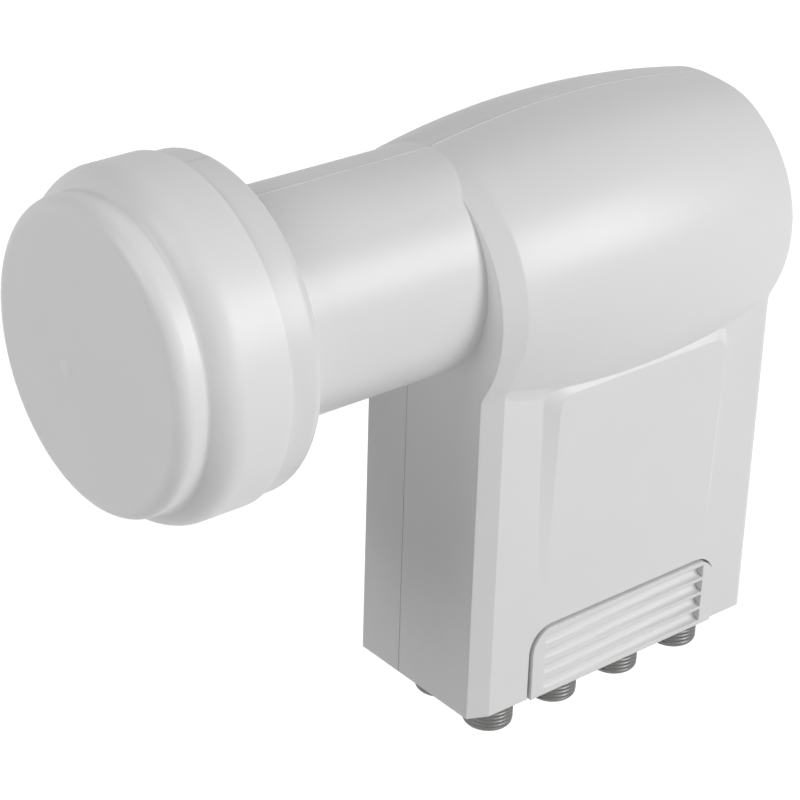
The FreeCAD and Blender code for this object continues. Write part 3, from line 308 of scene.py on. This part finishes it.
def thread_radius(turn, below, to_tip):
    """Radius of the thread at a turn (0 to 1), a depth below the collar and a height above the tip."""
    phase = (below / THREAD_PITCH - turn) % 1.0
    rise = 1.0 - abs(phase * 2.0 - 1.0)
    flat = min(max((rise - THREAD_CREST) / THREAD_FLANK, 0.0), 1.0)
    radius = THREAD_RADIUS - THREAD_DEPTH * flat
    if below < THREAD_RUNOUT:
        radius = THREAD_ROOT + (radius - THREAD_ROOT) * below / THREAD_RUNOUT
    if to_tip < TIP_ROUNDING:
        inward = TIP_ROUNDING - to_tip
        edge = THREAD_RADIUS - TIP_ROUNDING + math.sqrt(TIP_ROUNDING ** 2 - inward ** 2)
        radius = min(radius, edge)
    return radius


def connector_mesh():
    """One threaded port about its own axis: bore, boss, collar, helical thread and rounded tip."""
    foot = PORT_SEAT - COLLAR_DEPTH
    length = foot - PORT_TIP
    profile = (
        (PORT_BORE_RADIUS, PORT_BOSS_TOP),
        (PORT_BOSS_RADIUS - PORT_BOSS_BEVEL, PORT_BOSS_TOP),
        (PORT_BOSS_RADIUS, PORT_BOSS_TOP - PORT_BOSS_BEVEL),
        (PORT_BOSS_RADIUS, PORT_SEAT),
        (COLLAR_RADIUS - COLLAR_TOP_BEVEL, PORT_SEAT),
        (COLLAR_RADIUS, PORT_SEAT - COLLAR_TOP_BEVEL),
        (COLLAR_RADIUS, foot + COLLAR_BEVEL),
        (COLLAR_RADIUS - COLLAR_BEVEL, foot),
        (THREAD_ROOT, foot),
    )
    rings = [([radius] * PORT_SIDES, height) for radius, height in profile]
    for count in range(1, THREAD_STEPS + 1):
        below = length * count / THREAD_STEPS
        radii = [thread_radius(place / PORT_SIDES, below, length - below) for place in range(PORT_SIDES)]
        rings.append((radii, foot - below))
    rings.append(([PORT_BORE_RADIUS + PORT_BORE_BEVEL] * PORT_SIDES, PORT_TIP))
    rings.append(([PORT_BORE_RADIUS] * PORT_SIDES, PORT_TIP + PORT_BORE_BEVEL))
    shape = bmesh.new()
    angles = [math.tau * place / PORT_SIDES for place in range(PORT_SIDES)]
    rows = [add_ring(shape, [(radius * math.cos(angle), radius * math.sin(angle), height)
                             for radius, angle in zip(radii, angles)])
            for radii, height in rings]
    wrap(shape, rows + rows[:1])
    return finished_mesh("connector", shape, MATERIALS["port_metal"], smooth=50.0)


def add_connectors():
    mesh = connector_mesh()
    for count, (across, along) in enumerate(PORT_PLACES, start=1):
        own = mesh.copy()
        turn = Matrix.Rotation(math.radians(PORT_TURN * count), 4, "Z")
        own.transform(Matrix.Translation(Vector((across, along, 0.0)) * MM) @ turn)
        add_piece(f"threaded_port_{count}", own, f"f_connector_{count}")


def eased(low, high, value):
    """Smooth rise from 0 to 1 between two values."""
    part = min(max((value - low) / (high - low), 0.0), 1.0)
    return part * part * (3.0 - 2.0 * part)


def share_at(turn, turns):
    """Smooth rise from 0 to 1 between the first two turns, and fall between the last two."""
    return eased(*turns[:2], turn) * (1.0 - eased(*turns[2:], turn))


def hood_move(along, turn):
    """How far the hood's skin stands out at a place along it and a turn about its axis."""
    past_bevel = min(max((along - NECK_BACK) / HOOD_BEVEL, 0.0), 1.0)
    dip = FAR_DIP_AT_FACE + (FAR_DIP - FAR_DIP_AT_FACE) * past_bevel
    return SWELL * past_bevel * share_at(turn, SWELL_TURNS) - dip * share_at(turn, FAR_TURNS)


def add_housing(name, node):
    """One half of the housing, with its hood fuller on the near side and its bevel steeper."""
    mesh = frame["nodes"][node].data.copy()
    for vertex in mesh.vertices:
        across, along, up = (value / MM for value in vertex.co)
        up -= HOOD_AXIS
        radius = math.hypot(across, up)
        if along > NECK_BACK - HOOD_MARGIN and radius > HOOD_INSIDE:
            turn = math.degrees(math.atan2(up, across))
            if turn < -90.0:
                turn += 360.0
            longer = 1.0 + hood_move(along, turn) / radius
            vertex.co.x = across * longer * MM
            vertex.co.z = (up * longer + HOOD_AXIS) * MM
    mesh.update()
    add_piece(name, mesh, node)


def hood_height(along):
    """Height of the hood's crown: its bevelled shoulder, then the long arch to the tail."""
    if along < HOOD_SHOULDER:
        slope = (HOOD_SHOULDER_RADIUS - HOOD_FACE_RADIUS) / HOOD_BEVEL
        return HOOD_AXIS + HOOD_FACE_RADIUS + slope * (along - NECK_BACK)
    run = HOOD_TAIL - HOOD_SHOULDER
    rise = HOOD_TAIL_RADIUS - HOOD_SHOULDER_RADIUS
    chord = math.hypot(run, rise)
    drop = math.sqrt(HOOD_ARCH_RADIUS ** 2 - (chord / 2) ** 2)
    centre_along = (HOOD_SHOULDER + HOOD_TAIL) / 2 + rise / chord * drop
    centre_up = (HOOD_SHOULDER_RADIUS + HOOD_TAIL_RADIUS) / 2 - run / chord * drop
    return HOOD_AXIS + centre_up + math.sqrt(HOOD_ARCH_RADIUS ** 2 - (along - centre_along) ** 2)


def add_flash(name, points):
    """A low ridge with a rounded back along points (along, up) of the parting plane."""
    shape = bmesh.new()
    rows = []
    for index, (along, up) in enumerate(points):
        before = Vector(points[max(index - 1, 0)])
        after = Vector(points[min(index + 1, len(points) - 1)])
        way = (after - before).normalized()
        rows.append(add_ring(shape, [(across, along - way.y * lift, up + way.x * lift)
                                     for across, lift in FLASH_OUTLINE]))
    wrap(shape, rows)
    shape.faces.new(rows[0])
    shape.faces.new(rows[-1][::-1])
    add_piece(name, finished_mesh(name, shape, MATERIALS["shell_plastic"]))


def add_parting_flash():
    neck = [(along, NECK_RADIUS) for along in spaced(*NECK_FLASH, NECK_FLASH_STEPS)]
    add_flash("neck_flash", neck)
    crown = [(along, hood_height(along)) for along in spaced(*HOOD_FLASH, HOOD_FLASH_STEPS)]
    add_flash("hood_flash", crown)


def add_gate_mark():
    """The low round nub that the moulding gate left on the cap's face."""
    shape = bmesh.new()
    x, y, z = GATE_PLACE
    angles = [math.tau * place / GATE_SIDES for place in range(GATE_SIDES)]
    rings = [add_ring(shape, [(x + radius * math.cos(angle), y + rise, z + radius * math.sin(angle))
                              for angle in angles])
             for radius, rise in GATE_RINGS]
    top = shape.verts.new(Vector((x, y + GATE_TOP, z)) * MM)
    wrap(shape, rings)
    for place in range(GATE_SIDES):
        shape.faces.new((rings[-1][place], rings[-1][(place + 1) % GATE_SIDES], top))
    shape.faces.new(rings[0][::-1])
    add_piece("gate_mark", finished_mesh("gate_mark", shape, GATE_PLASTIC, smooth=40.0))


def seen_straight(tree):
    """1 for rays of the camera, of a reflection or through glass, and 0 for those that only light."""
    path = tree.nodes.new("ShaderNodeLightPath")
    found = path.outputs["Is Camera Ray"]
    for kind in ("Is Glossy Ray", "Is Transmission Ray"):
        larger = tree.nodes.new("ShaderNodeMath")
        larger.operation = "MAXIMUM"
        tree.links.new(found, larger.inputs[0])
        tree.links.new(path.outputs[kind], larger.inputs[1])
        found = larger.outputs["Value"]
    return found


def add_floor():
    """A pale floor, lifted to white where it is seen, so that the object's shadow stays on it."""
    mesh = bpy.data.meshes.new("floor")
    half = FLOOR_HALF
    corners = [(-half, -half), (half, -half), (half, half), (-half, half)]
    mesh.from_pydata([(x, y, FLOOR_HEIGHT * MM) for x, y in corners], [], [(0, 1, 2, 3)])
    mesh.update()
    material, tree, shader = material_tree("floor")
    shader.inputs["Base Color"].default_value = FLOOR_COLOUR
    shader.inputs["Roughness"].default_value = FLOOR_ROUGHNESS
    lift = tree.nodes.new("ShaderNodeMath")
    lift.operation = "MULTIPLY"
    lift.inputs[1].default_value = FLOOR_LIFT
    glow = tree.nodes.new("ShaderNodeEmission")
    glow.inputs["Color"].default_value = WHITE
    both = tree.nodes.new("ShaderNodeAddShader")
    tree.links.new(seen_straight(tree), lift.inputs[0])
    tree.links.new(lift.outputs["Value"], glow.inputs["Strength"])
    tree.links.new(shader.outputs["BSDF"], both.inputs[0])
    tree.links.new(glow.outputs["Emission"], both.inputs[1])
    tree.links.new(both.outputs["Shader"], tree.nodes["Material Output"].inputs["Surface"])
    mesh.materials.append(material)
    new_object("floor", mesh)


def direction(azimuth, elevation):
    """The way from the object to an eye or lamp, with azimuth 0 in front of the cap."""
    a, e = math.radians(azimuth), math.radians(elevation)
    return Vector((math.sin(a) * math.cos(e), -math.cos(a) * math.cos(e), math.sin(e)))


def add_camera():
    data = bpy.data.cameras.new("camera")
    data.lens = CAMERA_LENS
    data.sensor_width = SENSOR_WIDTH
    data.clip_start = NEAREST_SEEN
    camera = new_object("camera", data)
    back = direction(CAMERA_AZIMUTH, CAMERA_ELEVATION)
    level = math.radians(CAMERA_AZIMUTH)
    right = Vector((math.cos(level), math.sin(level), 0.0))
    up = back.cross(right)
    roll = math.radians(CAMERA_ROLL)
    right, up = (right * math.cos(roll) + up * math.sin(roll),
                 up * math.cos(roll) - right * math.sin(roll))
    turn = Matrix((right, up, back)).transposed()
    camera.matrix_world = Matrix.Translation(Vector(CAMERA_PLACE) * MM) @ turn.to_4x4()
    bpy.context.scene.camera = camera


def add_lamps():
    """Square soft lamps, all turned to the middle of the part."""
    target = (cad_box[0] + cad_box[1]) / 2
    for name, azimuth, elevation, distance, size, power in LAMPS:
        data = bpy.data.lights.new(name, "AREA")
        data.size = size
        data.energy = power
        lamp = new_object(name, data)
        way = direction(azimuth, elevation)
        lamp.location = target + way * distance
        lamp.rotation_euler = way.to_track_quat("Z", "Y").to_euler()


def add_world():
    """A weak even light, and white wherever the background is seen."""
    world = bpy.data.worlds.new("studio")
    bpy.context.scene.world = world
    world.use_nodes = True
    tree = world.node_tree
    light = tree.nodes["Background"]
    white = tree.nodes.new("ShaderNodeBackground")
    for background, strength in ((light, WORLD_STRENGTH), (white, 1.0)):
        background.inputs["Color"].default_value = WHITE
        background.inputs["Strength"].default_value = strength
    mix = tree.nodes.new("ShaderNodeMixShader")
    tree.links.new(seen_straight(tree), mix.inputs["Fac"])
    tree.links.new(light.outputs["Background"], mix.inputs[1])
    tree.links.new(white.outputs["Background"], mix.inputs[2])
    tree.links.new(mix.outputs["Shader"], tree.nodes["World Output"].inputs["Surface"])


add_camera()
dress_nodes()
add_housing("right_housing", "right_shell")
add_housing("left_housing", "left_shell")
add_connectors()
add_parting_flash()
add_gate_mark()
add_floor()
add_lamps()
add_world()
bpy.context.scene.view_settings.view_transform = "Standard"
